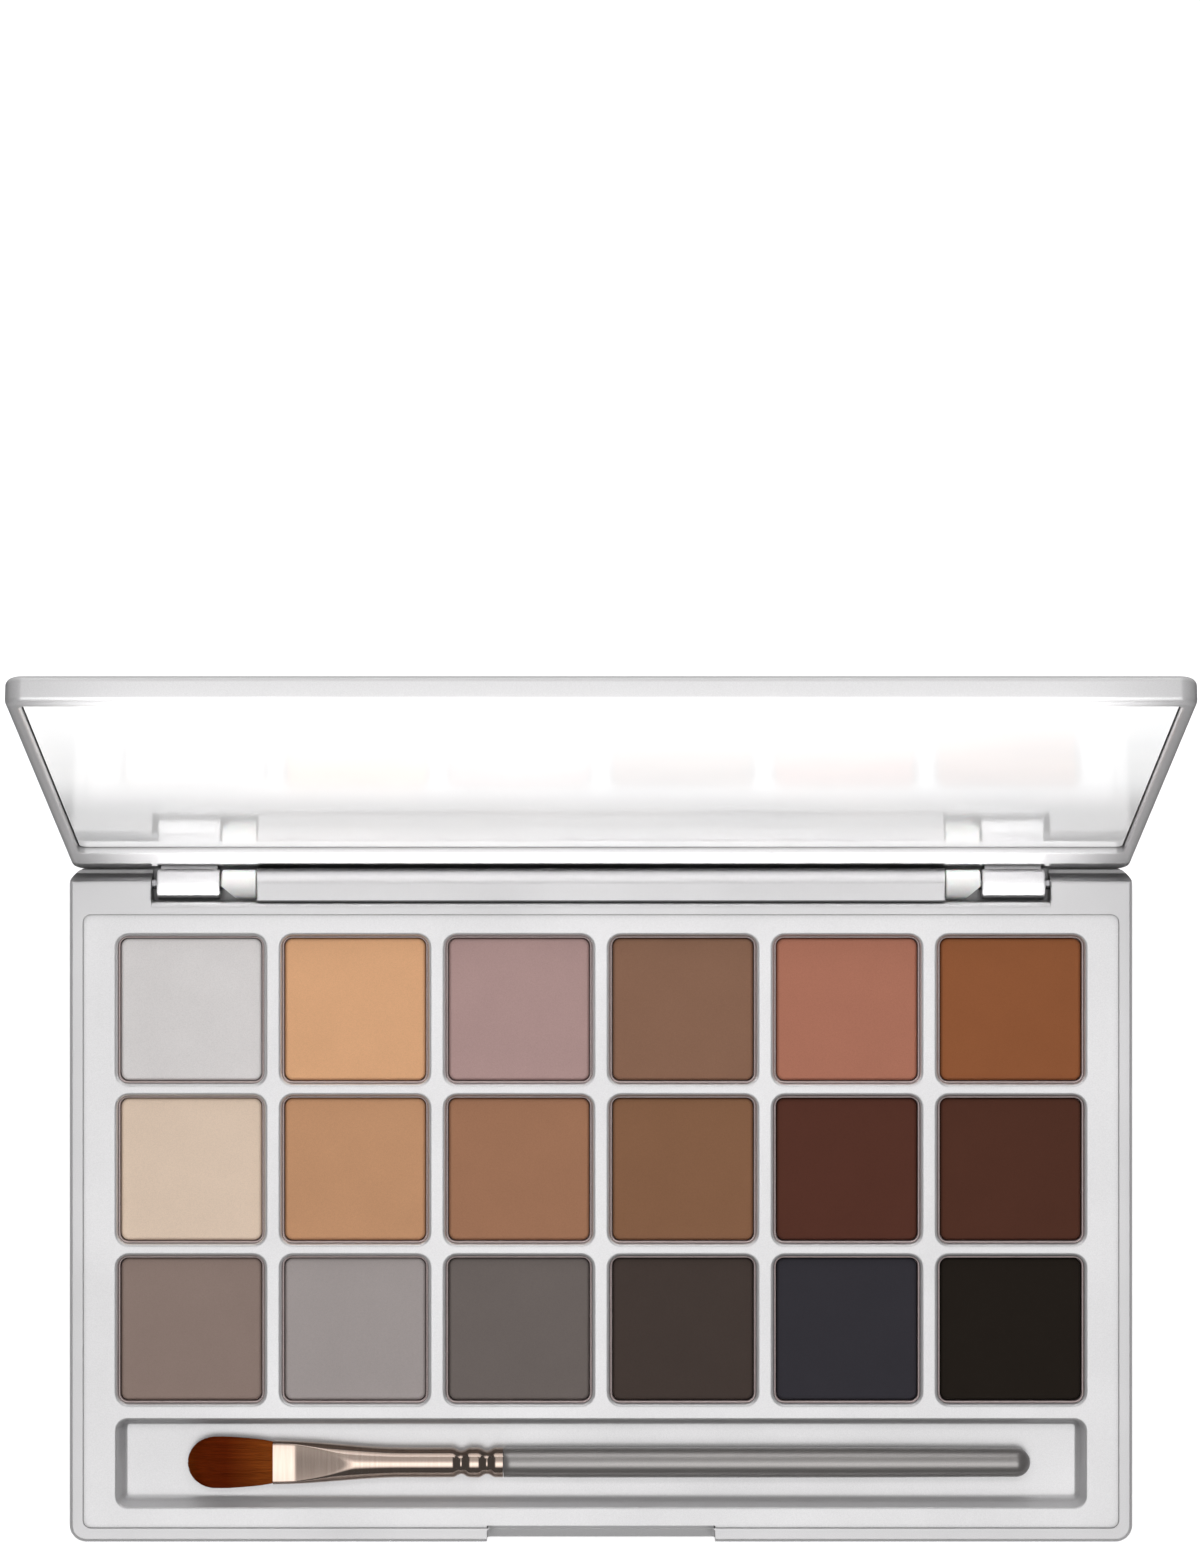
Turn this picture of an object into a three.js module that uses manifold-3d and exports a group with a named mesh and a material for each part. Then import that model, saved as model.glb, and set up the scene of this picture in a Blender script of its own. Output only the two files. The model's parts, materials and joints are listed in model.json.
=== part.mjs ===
// Eyeshadow palette: a shallow hinged case that holds eighteen pressed-powder pans and a
// flat brush. The lid stands open against its stop. Millimetres, +X right, +Y towards the
// hinge, +Z up; the origin is the centre of the case's underside.
import * as THREE from "three";
import { mergeVertices } from "three/addons/utils/BufferGeometryUtils.js";
import Module from "manifold-3d";

const wasm = await Module();
wasm.setup();

// ---- Driving dimensions ----
const WIDTH = 160; // outside, across the hinge
const DEPTH = 101.4; // outside, front edge to hinge edge
const BASE_HEIGHT = 9;
const LID_THICKNESS = 4;
const LID_GAP = 0.3; // parting gap between the closed lid and the base rim
const OPEN_ANGLE = THREE.MathUtils.degToRad(103.7); // lid against its stop
const CORNER_RADIUS = 2.5;
const EDGE_ROUND = 1;
const RIM = 1.9; // width of the rim of the base and of the lid
const FLOOR = 1.4;
const FIT_GAP = 0.15; // between pieces that are pressed or glued together

// Hinge: its axis lies one hinge radius under the rim and in from the back.
const HINGE_RADIUS = 2.5;
const AXIS_Y = DEPTH / 2 - HINGE_RADIUS;
const AXIS_Z = BASE_HEIGHT - HINGE_RADIUS;
const RECESS_HALF = 67.7; // hinge recess, half its length along X
const RECESS_Y = AXIS_Y - HINGE_RADIUS - 0.05; // front wall of the recess
const RAIL_GROOVE = 0.35; // between the rail and the front wall
const RAIL_GROOVE_DEPTH = 1.2;
const RECESS_FLOOR_Z = AXIS_Z - HINGE_RADIUS - 0.9;
const KNUCKLE_OUTER_X = 66.9;
const KNUCKLE_INNER_X = 57.4;
const KNUCKLE_RADIUS = 2.3;
const WEB_FRONT = 0.5; // front of the web that joins a knuckle to the lid, from the axis
const RAIL_HALF = 51.8; // fixed rail between the two bushes
const STOP_LENGTH = 3; // sloping face on the base that the open lid leans on
const RELIEF_Z = 4.8; // the backs of the ears are cut steeply down to here
const RELIEF_LEAN = 1.2; // how far the cut leans back on its way down
const RELIEF_START = 0.45; // behind the axis, at the top
const PIN_RADIUS = 0.75;
const PIN_HOLE_RADIUS = 0.85;
const PIN_INNER_X = 48;
const PIN_RECESS = 0.4; // the pin's head lies this far inside the case's side

// Insert: the plate with the wells and the brush trough.
const PLATE_Z = BASE_HEIGHT - 0.5;
const INSERT_BOTTOM_Z = FLOOR + 0.1;
const PLATE_BACK_Y = AXIS_Y - 4.5;
const PLATE_SKIN = 1.2;
const COLUMNS = 6;
const ROWS = 3;
const COLUMN_PITCH = 24.7;
const ROW_PITCH = 24.1;
const ROW_MIDDLE_Y = 5.25; // centre of the middle row
const WELL_WIDTH = 22.4;
const WELL_DEPTH = 22.6; // along Y
const WELL_RADIUS = 1.7;
const WELL_FLOOR_Z = 3.9;
const WELL_SKIN = 1;

// Pan and powder.
const PAN_GAP = 0.2; // to the well's wall
const PAN_HEIGHT = 3.6;
const PAN_WALL = 0.35;
const POWDER_DROP = 0.35; // powder surface under the pan's lip

// Brush trough.
const TROUGH_HALF_X = 72.9;
const TROUGH_WIDTH = 13.1;
const TROUGH_Y = -DEPTH / 2 + 11.75;
const TROUGH_DEPTH = 5;
const TROUGH_RADIUS = 1.6;
const TROUGH_FILLET = 0.9; // between its floor and walls
const TROUGH_FLOOR_Z = PLATE_Z - TROUGH_DEPTH;

// Thumb scoop in the front wall.
const SCOOP_HALF = 17.2;
const SCOOP_RADIUS = 5.7;
const SCOOP_DEPTH = 2.2;
const SCOOP_Z = 7.5;
const SCOOP_BACKING = 1.6; // extra wall behind the scoop

// Lid.
const MIRROR_RECESS = 1; // mirror face behind the lid's rim
const MIRROR_THICKNESS = 1.3;
const TAPE_THICKNESS = 0.25;
const LID_CAVITY = 2.8;
const HINGE_FRAME = 8.4; // lid frame, from the axis to the mirror
const TAB_HEIGHT = 9; // finger tab at the lid's free edge
const TAB_CHORD = 23.3;

// Brush, lying along X with its hair to the left.
const BRUSH_Y = TROUGH_Y - 0.15;
const HANDLE_RADIUS = 2.28;
const BRUSH_Z = TROUGH_FLOOR_Z + HANDLE_RADIUS + 0.1;
const HAIR_TIP_X = -62.4;
const FERRULE_START_X = -49.5;
const FERRULE_END_X = -14.8;
const HANDLE_END_X = 64.8;
const FERRULE_RADIUS = 2.25;
const FERRULE_WALL = 0.3;
const TENON_LENGTH = 9;
const CRIMPS_X = [-21.1, -17.2]; // grooves pressed into the ferrule to grip the handle
const CRIMP_HALF_LENGTH = 1.3;
const CRIMP_DEPTH = 0.5;
const TENON_RADIUS = FERRULE_RADIUS - FERRULE_WALL - CRIMP_DEPTH - FIT_GAP;
const MOUTH_SPREAD = 1.47; // half-width of the flat mouth over the tube's radius
const MOUTH_FLATNESS = 0.62;
const FLAT_LENGTH = 20; // over which the tube goes from flat to round
const HAIR_ROOT = 6; // hair held inside the ferrule
const HAIR_HALF_WIDTH = 3.95;
const HAIR_SWELL_LENGTH = 7; // from the ferrule to the widest place
const HAIR_TIP_LENGTH = 5; // of the round tip

// ---- Shapes ----
const BIG = 300;

/** A closed three.js geometry as a solid that can be cut and joined. */
function solid(geometry) {
  const bare = geometry.clone();
  bare.deleteAttribute("normal");
  bare.deleteAttribute("uv");
  const merged = mergeVertices(bare, 1e-4);
  return new wasm.Manifold(
    new wasm.Mesh({
      numProp: 3,
      vertProperties: new Float32Array(merged.attributes.position.array),
      triVerts: new Uint32Array(merged.index.array),
    }),
  );
}

/** A solid as a geometry. */
function geometryOf(shape) {
  const { numProp, vertProperties, triVerts } = shape.getMesh();
  const positions = new Float32Array((vertProperties.length / numProp) * 3);
  for (let i = 0; i < positions.length / 3; i++) {
    positions.set(vertProperties.subarray(i * numProp, i * numProp + 3), i * 3);
  }
  const geometry = new THREE.BufferGeometry();
  geometry.setAttribute("position", new THREE.BufferAttribute(positions, 3));
  geometry.setIndex(new THREE.BufferAttribute(new Uint32Array(triVerts), 1));
  geometry.computeVertexNormals();
  return geometry;
}

/** A rectangle with round corners in the XY plane. */
function roundedRectangle(x0, x1, y0, y1, radius) {
  const shape = new THREE.Shape();
  shape.absarc(x1 - radius, y0 + radius, radius, -Math.PI / 2, 0, false);
  shape.absarc(x1 - radius, y1 - radius, radius, 0, Math.PI / 2, false);
  shape.absarc(x0 + radius, y1 - radius, radius, Math.PI / 2, Math.PI, false);
  shape.absarc(x0 + radius, y0 + radius, radius, Math.PI, 1.5 * Math.PI, false);
  shape.closePath();
  return shape;
}

/** A slab with round vertical corners, and top and bottom edges rounded by bevel. */
function slab({ x0, x1, y0, y1, z0, z1, radius, bevel = 0, corner = 3, round = 2 }) {
  const geometry = new THREE.ExtrudeGeometry(roundedRectangle(x0, x1, y0, y1, radius), {
    depth: z1 - z0 - 2 * bevel,
    curveSegments: corner,
    bevelEnabled: bevel > 0,
    bevelThickness: bevel,
    bevelSize: bevel,
    bevelOffset: -bevel,
    bevelSegments: round,
  });
  geometry.translate(0, 0, z0 + bevel);
  return solid(geometry);
}

function box(x0, x1, y0, y1, z0, z1) {
  const geometry = new THREE.BoxGeometry(x1 - x0, y1 - y0, z1 - z0);
  geometry.translate((x0 + x1) / 2, (y0 + y1) / 2, (z0 + z1) / 2);
  return solid(geometry);
}

/** A cylinder along X. */
function rod(x0, x1, y, z, radius, sides = 16) {
  const geometry = new THREE.CylinderGeometry(radius, radius, x1 - x0, sides);
  geometry.rotateZ(Math.PI / 2);
  geometry.translate((x0 + x1) / 2, y, z);
  return solid(geometry);
}

/** A profile in the YZ plane, extruded along X. */
function alongX(shape, x0, x1, curveSegments = 8) {
  const geometry = new THREE.ExtrudeGeometry(shape, {
    depth: x1 - x0,
    curveSegments,
    bevelEnabled: false,
  });
  geometry.applyMatrix4(
    new THREE.Matrix4().makeBasis(
      new THREE.Vector3(0, 1, 0),
      new THREE.Vector3(0, 0, 1),
      new THREE.Vector3(1, 0, 0),
    ),
  );
  geometry.translate(x0, 0, 0);
  return solid(geometry);
}

/** A body turned about an axis along X; profile gives [x, radius] points. */
function turned(profile, sides = 16) {
  const points = profile.map(([x, radius]) => new THREE.Vector2(radius, x));
  const geometry = new THREE.LatheGeometry(points, sides);
  geometry.rotateZ(-Math.PI / 2);
  return geometry;
}

/** Scales each section of a turned body across (Y) and through (Z). */
function squeezed(geometry, across, through) {
  const position = geometry.attributes.position;
  for (let i = 0; i < position.count; i++) {
    const x = position.getX(i);
    position.setY(i, position.getY(i) * across(x));
    position.setZ(i, position.getZ(i) * through(x));
  }
  return geometry;
}

/** The same shape on the left and on the right. */
function bothSides(make) {
  return make(1).add(make(-1));
}

/** Orders the two ends of a stretch on the side given by sign. */
function sideSpan(sign, inner, outer) {
  return sign > 0 ? [inner, outer] : [-outer, -inner];
}

// ---- Materials ----
function material(color, roughness, metalness = 0) {
  return new THREE.MeshStandardMaterial({ color, roughness, metalness });
}

const silverPlastic = material(0xd6d4d5, 0.35);
const whiteNylon = material(0xf4f4f2, 0.4);
const tinplate = material(0xb9bab8, 0.3, 1);
const steel = material(0xa8a8a8, 0.3, 1);
const mirrorGlass = material(0xf2f4f5, 0.05, 1);
const foamTape = material(0xe8e8e4, 0.9);
const brushHair = material(0x7a3512, 0.8);
const ferruleMetal = material(0xb4a59b, 0.2, 1);
const silverLacquer = material(0x8c8a89, 0.3, 0.5);

// Powder colours, back row first.
const POWDER_COLOURS = [
  [0xcfcbca, 0xd4a37b, 0xa88c88, 0x846350, 0xa76f5b, 0x8a5536],
  [0xd4bfac, 0xba8c6a, 0x9b6f56, 0x815d45, 0x533229, 0x4f3026],
  [0x86756d, 0x9a9390, 0x68605d, 0x433a36, 0x333237, 0x241f1b],
];

// ---- Case base ----
/** Side view of the base: round over the hinge at the back, with the lid's stop below. */
function baseProfile() {
  const lean = OPEN_ANGLE - Math.PI / 2;
  const tangent = new THREE.Vector2(Math.cos(lean), -Math.sin(lean)).multiplyScalar(HINGE_RADIUS);
  const stopEndY = AXIS_Y + tangent.x - STOP_LENGTH * Math.sin(lean);
  const stopEndZ = AXIS_Z + tangent.y - STOP_LENGTH * Math.cos(lean);
  const shape = new THREE.Shape();
  shape.moveTo(-BIG, -1);
  shape.lineTo(BIG, -1);
  shape.lineTo(BIG, stopEndZ);
  shape.lineTo(stopEndY, stopEndZ);
  shape.lineTo(AXIS_Y + tangent.x, AXIS_Z + tangent.y);
  shape.absarc(AXIS_Y, AXIS_Z, HINGE_RADIUS, -lean, Math.PI / 2, false);
  shape.lineTo(-BIG, BASE_HEIGHT);
  shape.closePath();
  return shape;
}

/** A steep cut down the back of an ear, which leaves room for the open lid. */
function earRelief(sign) {
  const top = AXIS_Y + RELIEF_START;
  const shape = new THREE.Shape();
  shape.moveTo(top, BASE_HEIGHT + 1);
  shape.lineTo(top, BASE_HEIGHT);
  shape.lineTo(top + RELIEF_LEAN, RELIEF_Z);
  shape.lineTo(BIG, RELIEF_Z);
  shape.lineTo(BIG, BASE_HEIGHT + 1);
  shape.closePath();
  return alongX(shape, ...sideSpan(sign, RECESS_HALF, WIDTH / 2 + 1));
}

function hingePocket(sign) {
  const [x0, x1] = sideSpan(sign, RAIL_HALF, RECESS_HALF);
  return box(x0, x1, RECESS_Y, DEPTH, RECESS_FLOOR_Z, BASE_HEIGHT + 1);
}

function pinHole(sign) {
  const [x0, x1] = sideSpan(sign, PIN_INNER_X - 0.2, WIDTH / 2 + 1);
  return rod(x0, x1, AXIS_Y, AXIS_Z, PIN_HOLE_RADIUS);
}

function scoopCutter(x0, x1) {
  return rod(x0, x1, -DEPTH / 2 + SCOOP_DEPTH - SCOOP_RADIUS, SCOOP_Z, SCOOP_RADIUS, 40);
}

function baseShell() {
  const outside = slab({
    x0: -WIDTH / 2,
    x1: WIDTH / 2,
    y0: -DEPTH / 2,
    y1: DEPTH / 2,
    z0: 0,
    z1: BASE_HEIGHT,
    radius: CORNER_RADIUS,
    bevel: EDGE_ROUND,
    corner: 5,
    round: 3,
  }).intersect(alongX(baseProfile(), -WIDTH, WIDTH));
  const cavity = slab({
    x0: -WIDTH / 2 + RIM,
    x1: WIDTH / 2 - RIM,
    y0: -DEPTH / 2 + RIM,
    y1: PLATE_BACK_Y + FIT_GAP,
    z0: FLOOR,
    z1: BASE_HEIGHT + 1,
    radius: 1.2,
  });
  const backing = box(
    -SCOOP_HALF - RIM,
    SCOOP_HALF + RIM,
    -DEPTH / 2 + RIM / 2,
    -DEPTH / 2 + RIM + SCOOP_BACKING,
    FLOOR / 2,
    PLATE_Z - PLATE_SKIN - FIT_GAP,
  );
  const railGroove = box(
    -RAIL_HALF - 1,
    RAIL_HALF + 1,
    RECESS_Y,
    RECESS_Y + RAIL_GROOVE,
    BASE_HEIGHT - RAIL_GROOVE_DEPTH,
    BASE_HEIGHT + 1,
  );
  return outside
    .subtract(cavity)
    .add(backing)
    .subtract(scoopCutter(-SCOOP_HALF, SCOOP_HALF))
    .subtract(railGroove)
    .subtract(bothSides(hingePocket))
    .subtract(bothSides(earRelief))
    .subtract(bothSides(pinHole));
}

// ---- Insert ----
/** Centre of the well in a column, 0 at the left, and a row, 0 at the back. */
function wellCentre(column, row) {
  return {
    x: (column - (COLUMNS - 1) / 2) * COLUMN_PITCH,
    y: ROW_MIDDLE_Y + ((ROWS - 1) / 2 - row) * ROW_PITCH,
  };
}

/** A slab centred on a well; gap is kept to the well's wall all round. */
function inWell({ x, y }, gap, z0, z1, options = {}) {
  return slab({
    x0: x - WELL_WIDTH / 2 + gap,
    x1: x + WELL_WIDTH / 2 - gap,
    y0: y - WELL_DEPTH / 2 + gap,
    y1: y + WELL_DEPTH / 2 - gap,
    z0,
    z1,
    radius: WELL_RADIUS - gap,
    ...options,
  });
}

function forEachWell(visit) {
  for (let row = 0; row < ROWS; row++) {
    for (let column = 0; column < COLUMNS; column++) {
      visit(wellCentre(column, row), row, column);
    }
  }
}

/** The hollow under a well's floor, between the ribs that stand on the case's floor. */
function coreUnder({ x, y }) {
  const halfX = WELL_WIDTH / 2;
  const halfY = WELL_DEPTH / 2;
  return box(x - halfX, x + halfX, y - halfY, y + halfY, 0, WELL_FLOOR_Z - WELL_SKIN);
}

function insertTray() {
  const front = -DEPTH / 2 + RIM + FIT_GAP;
  let tray = slab({
    x0: -WIDTH / 2 + RIM + FIT_GAP,
    x1: WIDTH / 2 - RIM - FIT_GAP,
    y0: front,
    y1: PLATE_BACK_Y,
    z0: INSERT_BOTTOM_Z,
    z1: PLATE_Z,
    radius: 1.05,
  });
  forEachWell((centre) => {
    tray = tray
      .subtract(inWell(centre, 0, WELL_FLOOR_Z, BASE_HEIGHT))
      .subtract(coreUnder(centre));
  });
  const trough = slab({
    x0: -TROUGH_HALF_X,
    x1: TROUGH_HALF_X,
    y0: TROUGH_Y - TROUGH_WIDTH / 2,
    y1: TROUGH_Y + TROUGH_WIDTH / 2,
    z0: TROUGH_FLOOR_Z,
    z1: BASE_HEIGHT + 3,
    radius: TROUGH_RADIUS,
    bevel: TROUGH_FILLET,
  });
  const scoopRoom = box(
    -SCOOP_HALF - RIM - FIT_GAP,
    SCOOP_HALF + RIM + FIT_GAP,
    -DEPTH,
    -DEPTH / 2 + RIM + SCOOP_BACKING + FIT_GAP,
    0,
    PLATE_Z - PLATE_SKIN,
  );
  const scoopEdge = box(-SCOOP_HALF, SCOOP_HALF, -DEPTH, front + 0.35, 0, BASE_HEIGHT);
  return tray.subtract(trough).subtract(scoopRoom).subtract(scoopEdge);
}

// ---- Pans and powders ----
function pan(centre) {
  const bottom = WELL_FLOOR_Z + 0.1;
  const cup = inWell(centre, PAN_GAP, bottom, bottom + PAN_HEIGHT);
  const hollow = inWell(centre, PAN_GAP + PAN_WALL, bottom + PAN_WALL, BASE_HEIGHT + 1);
  return cup.subtract(hollow);
}

function powder(centre) {
  const bottom = WELL_FLOOR_Z + 0.1 + PAN_WALL + 0.05;
  const top = WELL_FLOOR_Z + 0.1 + PAN_HEIGHT - POWDER_DROP;
  return inWell(centre, PAN_GAP + PAN_WALL + 0.05, bottom, top);
}

// ---- Hinge pins and bushes ----
function hingePin(sign) {
  const [x0, x1] = sideSpan(sign, PIN_INNER_X, WIDTH / 2 - PIN_RECESS);
  return rod(x0, x1, AXIS_Y, AXIS_Z, PIN_RADIUS);
}

/** A bush on the pin between the rail and the lid's knuckle, tapered towards the knuckle. */
function hingeBush(sign) {
  const start = RAIL_HALF + 0.1;
  const end = KNUCKLE_INNER_X - 0.2;
  const shoulder = start + 0.4 * (end - start);
  const geometry = turned(
    [
      [start, PIN_HOLE_RADIUS],
      [end, PIN_HOLE_RADIUS],
      [end, PIN_HOLE_RADIUS + 0.25],
      [shoulder, 2.1],
      [start, 2.2],
      [start, PIN_HOLE_RADIUS],
    ].reverse(),
  );
  if (sign < 0) geometry.rotateZ(Math.PI);
  geometry.translate(0, AXIS_Y, AXIS_Z);
  return solid(geometry);
}

// ---- Lid, closed, measured from the hinge axis ----
const LID_FRONT_Y = -DEPTH / 2 - AXIS_Y;
const MATE_Z = HINGE_RADIUS + LID_GAP;
const MIRROR_Z = MATE_Z + MIRROR_RECESS;
const TAPE_Z = MIRROR_Z + MIRROR_THICKNESS + 0.1;
const TAB_RADIUS = (TAB_CHORD ** 2 / 4 + TAB_HEIGHT ** 2) / (2 * TAB_HEIGHT);

/** A slab inside the lid's rim, notched for the finger tab. */
function inLid(gap, z0, z1) {
  const tab = new THREE.CylinderGeometry(TAB_RADIUS + gap, TAB_RADIUS + gap, BIG, 48);
  tab.rotateX(Math.PI / 2);
  tab.translate(0, LID_FRONT_Y + RIM + TAB_HEIGHT - TAB_RADIUS, 0);
  return slab({
    x0: -WIDTH / 2 + RIM + gap,
    x1: WIDTH / 2 - RIM - gap,
    y0: LID_FRONT_Y + RIM + gap,
    y1: -HINGE_FRAME - gap,
    z0,
    z1,
    radius: 1.2,
  }).subtract(solid(tab));
}

function knuckle(sign) {
  const [x0, x1] = sideSpan(sign, KNUCKLE_INNER_X, KNUCKLE_OUTER_X);
  const web = box(x0, x1, -WEB_FRONT, KNUCKLE_RADIUS, 0, MATE_Z + 1);
  return rod(x0, x1, 0, 0, KNUCKLE_RADIUS, 24).add(web);
}

function lidShell() {
  const outside = slab({
    x0: -WIDTH / 2,
    x1: WIDTH / 2,
    y0: LID_FRONT_Y,
    y1: HINGE_RADIUS,
    z0: MATE_Z,
    z1: MATE_Z + LID_THICKNESS,
    radius: CORNER_RADIUS,
    bevel: EDGE_ROUND,
    corner: 5,
    round: 3,
  });
  return outside
    .subtract(inLid(0, MATE_Z - 1, MATE_Z + LID_CAVITY))
    .add(bothSides(knuckle))
    .subtract(rod(-WIDTH, WIDTH, 0, 0, PIN_HOLE_RADIUS));
}

// ---- Brush, measured from its own axis ----
/** 0 at the ferrule's flat end and 1 where it is round. */
function roundness(x) {
  return THREE.MathUtils.smoothstep(x, FERRULE_START_X, FERRULE_START_X + FLAT_LENGTH);
}

function ferruleAcross(x) {
  return THREE.MathUtils.lerp(MOUTH_SPREAD, 1, roundness(x));
}

function ferruleThrough(x) {
  return THREE.MathUtils.lerp(MOUTH_FLATNESS, 1, roundness(x));
}

function ferrule() {
  const outside = [0, 4, 8, 12, 16, 20, 24].map((dx) => [FERRULE_START_X + dx, FERRULE_RADIUS]);
  for (const x of CRIMPS_X) {
    outside.push([x - CRIMP_HALF_LENGTH, FERRULE_RADIUS]);
    outside.push([x - CRIMP_HALF_LENGTH / 3, FERRULE_RADIUS - CRIMP_DEPTH]);
    outside.push([x + CRIMP_HALF_LENGTH / 3, FERRULE_RADIUS - CRIMP_DEPTH]);
    outside.push([x + CRIMP_HALF_LENGTH, FERRULE_RADIUS]);
  }
  outside.push([FERRULE_END_X, FERRULE_RADIUS - 0.1]);
  const bore = FERRULE_RADIUS - FERRULE_WALL;
  const inside = [20, 16, 12, 8, 4, 0].map((dx) => [FERRULE_START_X + dx, bore]);
  const profile = [
    ...outside,
    [FERRULE_END_X, bore - CRIMP_DEPTH],
    [CRIMPS_X[0] - CRIMP_HALF_LENGTH, bore - CRIMP_DEPTH],
    ...inside,
    outside[0],
  ];
  return squeezed(turned(profile, 20), ferruleAcross, ferruleThrough);
}

/** Half the hair's width, from the ferrule to its round tip. */
function hairHalfWidth(x) {
  const root = (FERRULE_RADIUS - FERRULE_WALL - FIT_GAP) * MOUTH_SPREAD;
  if (x >= FERRULE_START_X) return root;
  const swell = Math.min((FERRULE_START_X - x) / HAIR_SWELL_LENGTH, 1);
  const body = THREE.MathUtils.lerp(root, HAIR_HALF_WIDTH, Math.sqrt(swell));
  const t = Math.max((HAIR_TIP_X + HAIR_TIP_LENGTH - x) / HAIR_TIP_LENGTH, 0);
  return body * Math.sqrt(Math.max(0, 1 - t ** 2.4));
}

function hair() {
  const stations = [0, 0.3, 0.8, 1.6, 2.8, 4.4, 6.2, 8.4, 10.6, 12.4].map((dx) => HAIR_TIP_X + dx);
  const profile = stations.map((x) => [x, hairHalfWidth(x)]);
  const rootEnd = FERRULE_START_X + HAIR_ROOT;
  profile.push([FERRULE_START_X, hairHalfWidth(FERRULE_START_X)]);
  profile.push([rootEnd, hairHalfWidth(FERRULE_START_X)]);
  profile.push([rootEnd, 0]);
  const flatness = (x) => {
    const tip = THREE.MathUtils.smoothstep(x, HAIR_TIP_X, FERRULE_START_X);
    return THREE.MathUtils.lerp(0.2, 0.36, tip);
  };
  return squeezed(turned(profile, 20), () => 1, flatness);
}

function handle() {
  const tenonEnd = FERRULE_END_X - TENON_LENGTH;
  const dome = [1, 2, 3, 4].map((i) => {
    const angle = (i / 4) * (Math.PI / 2);
    return [
      HANDLE_END_X - HANDLE_RADIUS * (1 - Math.sin(angle)),
      i < 4 ? HANDLE_RADIUS * Math.cos(angle) : 0,
    ];
  });
  return turned(
    [
      [tenonEnd, 0],
      [tenonEnd, TENON_RADIUS],
      [FERRULE_END_X + 0.1, TENON_RADIUS],
      [FERRULE_END_X + 0.1, FERRULE_RADIUS - 0.1],
      [FERRULE_END_X + 4, HANDLE_RADIUS],
      [HANDLE_END_X - HANDLE_RADIUS, HANDLE_RADIUS],
      ...dome,
    ],
    20,
  );
}

// ---- Assembly ----
const palette = new THREE.Group();

function addMesh(parent, name, geometry, finish) {
  const mesh = new THREE.Mesh(geometry, finish);
  mesh.name = name;
  parent.add(mesh);
}

addMesh(palette, "base_shell", geometryOf(baseShell()), silverPlastic);
addMesh(palette, "insert_tray", geometryOf(insertTray()), silverPlastic);
forEachWell((centre, row, column) => {
  const label = `${row + 1}_${column + 1}`;
  addMesh(palette, `pan_${label}`, geometryOf(pan(centre)), tinplate);
  addMesh(
    palette,
    `powder_${label}`,
    geometryOf(powder(centre)),
    material(POWDER_COLOURS[row][column], 0.95),
  );
});
for (const [side, sign] of [
  ["left", -1],
  ["right", 1],
]) {
  addMesh(palette, `hinge_pin_${side}`, geometryOf(hingePin(sign)), steel);
  addMesh(palette, `hinge_bush_${side}`, geometryOf(hingeBush(sign)), whiteNylon);
}

const lid = new THREE.Group();
lid.position.set(0, AXIS_Y, AXIS_Z);
lid.rotation.x = -OPEN_ANGLE;
addMesh(lid, "lid_shell", geometryOf(lidShell()), silverPlastic);
addMesh(
  lid,
  "mirror",
  geometryOf(inLid(FIT_GAP, MIRROR_Z, MIRROR_Z + MIRROR_THICKNESS)),
  mirrorGlass,
);
addMesh(lid, "mirror_tape", geometryOf(inLid(2, TAPE_Z, TAPE_Z + TAPE_THICKNESS)), foamTape);
palette.add(lid);

const brush = new THREE.Group();
brush.position.set(0, BRUSH_Y, BRUSH_Z);
addMesh(brush, "brush_hair", hair(), brushHair);
addMesh(brush, "brush_ferrule", ferrule(), ferruleMetal);
addMesh(brush, "brush_handle", handle(), silverLacquer);
palette.add(brush);

export default palette;
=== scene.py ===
"""Eyeshadow palette: fine pieces, materials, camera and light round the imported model.

Metres, +X right, +Y towards the hinge, +Z up. The origin is the centre of the case's
underside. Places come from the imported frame; MM turns millimetres into metres.
"""
import json
import math
import random

import bmesh
import bpy
from mathutils import Matrix, Vector, noise


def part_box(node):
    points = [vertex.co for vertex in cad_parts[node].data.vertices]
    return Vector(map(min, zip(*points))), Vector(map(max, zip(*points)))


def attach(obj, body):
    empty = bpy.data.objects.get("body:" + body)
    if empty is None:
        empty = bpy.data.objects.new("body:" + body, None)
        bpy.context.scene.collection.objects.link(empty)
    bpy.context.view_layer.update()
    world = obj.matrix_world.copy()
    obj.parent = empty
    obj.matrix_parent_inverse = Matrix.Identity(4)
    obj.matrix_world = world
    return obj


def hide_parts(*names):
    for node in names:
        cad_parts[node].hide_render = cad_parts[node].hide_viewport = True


MM = 0.001

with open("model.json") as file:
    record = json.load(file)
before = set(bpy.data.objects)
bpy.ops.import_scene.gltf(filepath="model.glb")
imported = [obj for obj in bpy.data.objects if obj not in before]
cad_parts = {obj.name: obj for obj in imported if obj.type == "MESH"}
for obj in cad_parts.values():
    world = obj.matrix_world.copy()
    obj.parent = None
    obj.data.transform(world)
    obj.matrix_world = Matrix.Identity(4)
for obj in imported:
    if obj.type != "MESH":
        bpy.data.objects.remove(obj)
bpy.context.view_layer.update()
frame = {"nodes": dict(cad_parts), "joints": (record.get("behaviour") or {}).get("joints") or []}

# ---- Places read from the frame ----
HINGE = next(joint for joint in frame["joints"] if joint["name"] == "lid_hinge")
AXIS = Vector(HINGE["pos_m"])
OPEN_ANGLE = math.radians(HINGE["range_deg"][1])
BASE_LOW, BASE_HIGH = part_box("base_shell")
TRAY_LOW, TRAY_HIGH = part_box("insert_tray")
PIN_LOW, PIN_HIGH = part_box("hinge_pin_right")
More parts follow.
